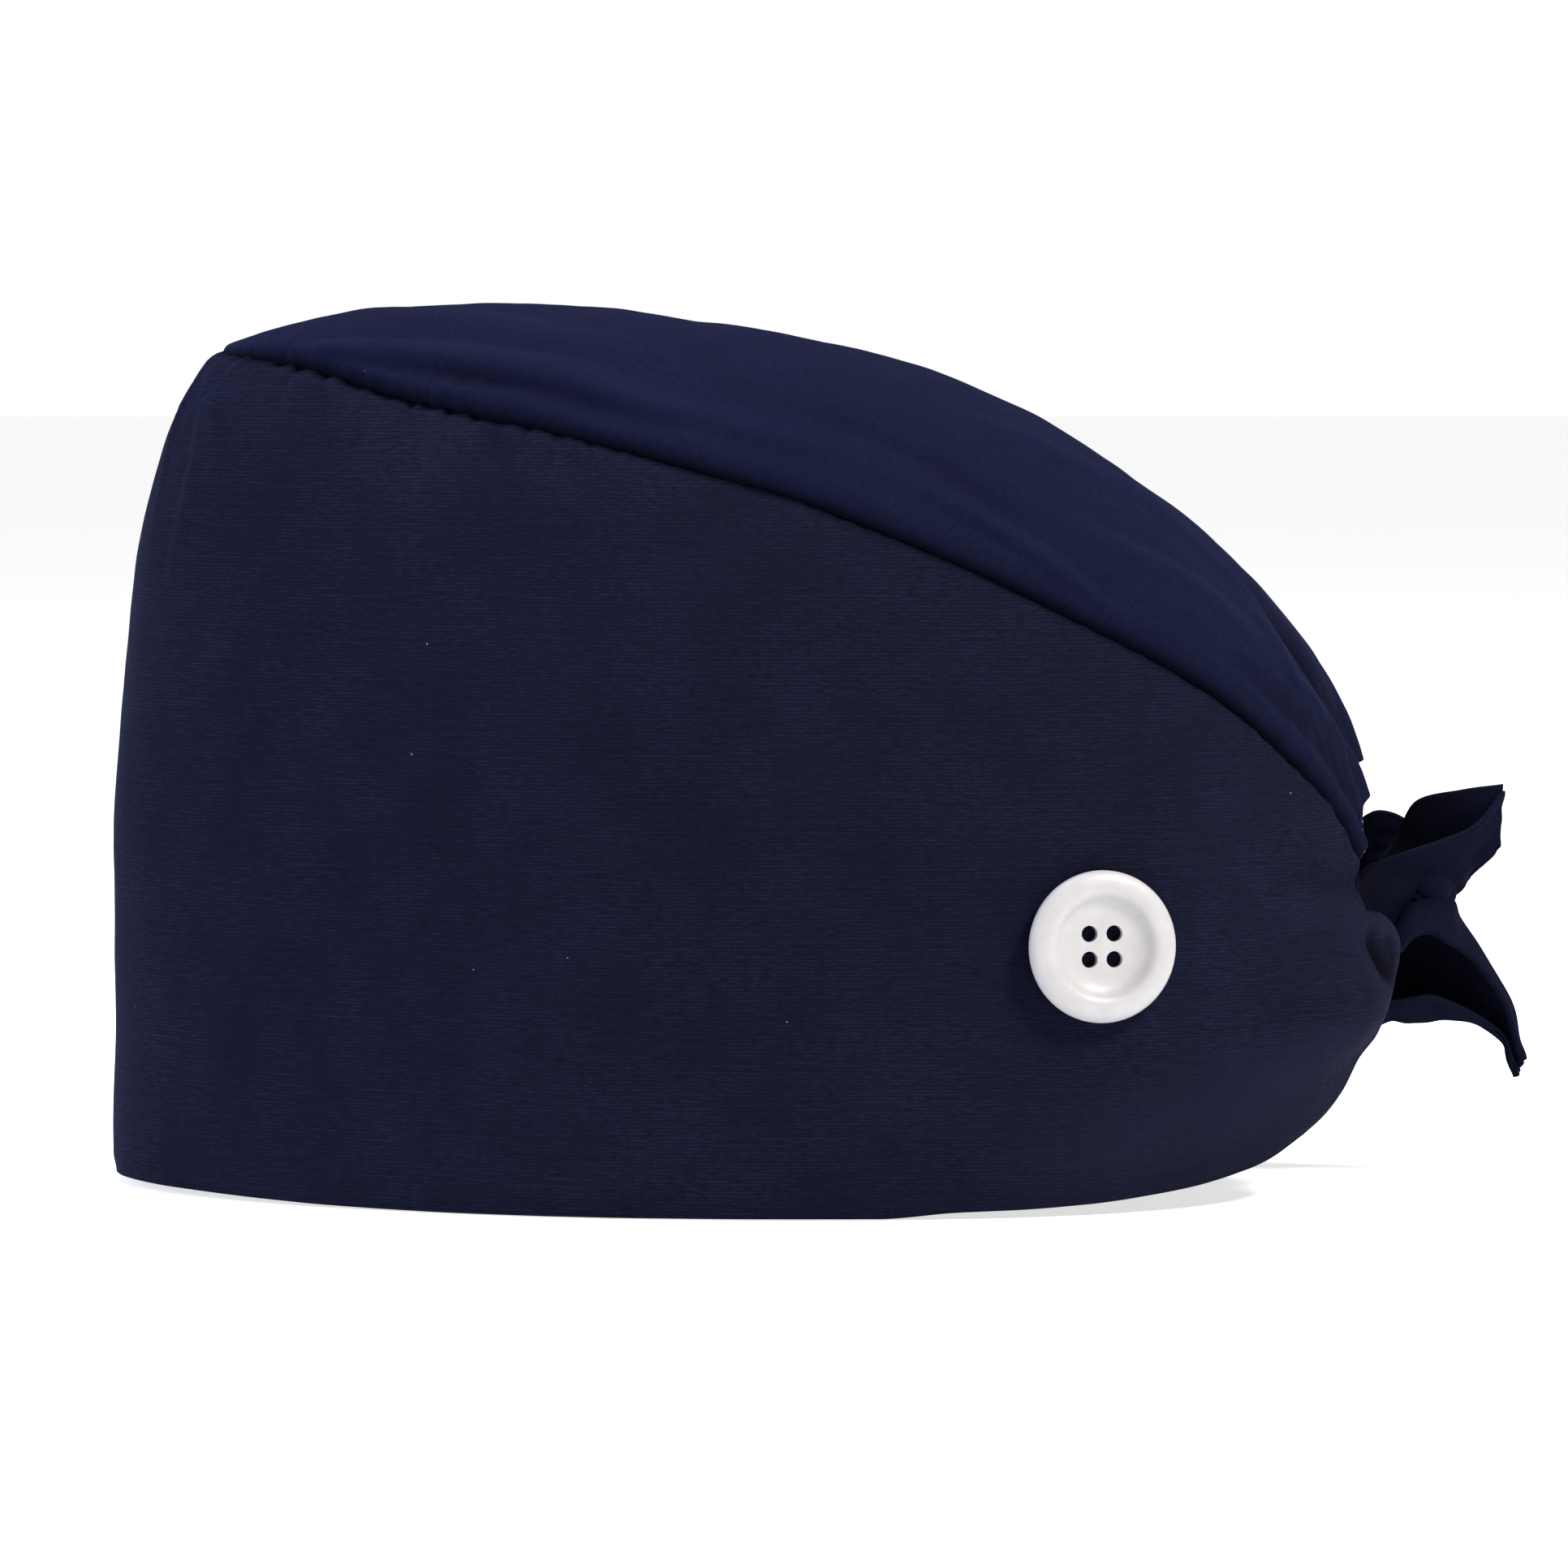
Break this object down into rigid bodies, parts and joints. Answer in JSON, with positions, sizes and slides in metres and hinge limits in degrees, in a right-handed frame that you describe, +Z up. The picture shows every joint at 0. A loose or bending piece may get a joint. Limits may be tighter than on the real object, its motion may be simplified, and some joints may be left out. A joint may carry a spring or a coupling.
{
  "type": "scrub cap",
  "caption": "Navy cloth scrub cap, worn shape, tied at the nape, with a white plastic button on each side for mask loops.",
  "frame": {"origin": "on the floor, under the middle of the whole length from the forehead to the end of the ties, in the cap's mirror plane", "axes": "+Z up, -Y towards the forehead, +Y towards the ties at the nape, +X towards the wearer's left"},
  "size_m": [0.164, 0.2462, 0.1527],
  "materials": {
    "band_cloth": "matt plain-woven navy cloth",
    "crown_cloth": "matt plain-woven navy cloth",
    "casing_cloth": "matt navy cloth, gathered",
    "tie_cloth": "matt navy cloth, folded",
    "button_plastic": "white plastic with a soft gloss"
  },
  "bodies": {
    "root": {"band_panel": "band_cloth", "crown_panel": "crown_cloth", "back_casing": "casing_cloth", "left_tie": "tie_cloth", "right_tie": "tie_cloth", "lower_tail": "tie_cloth", "tie_knot": "tie_cloth", "left_button": "button_plastic", "right_button": "button_plastic"}
  },
  "joints": []
}
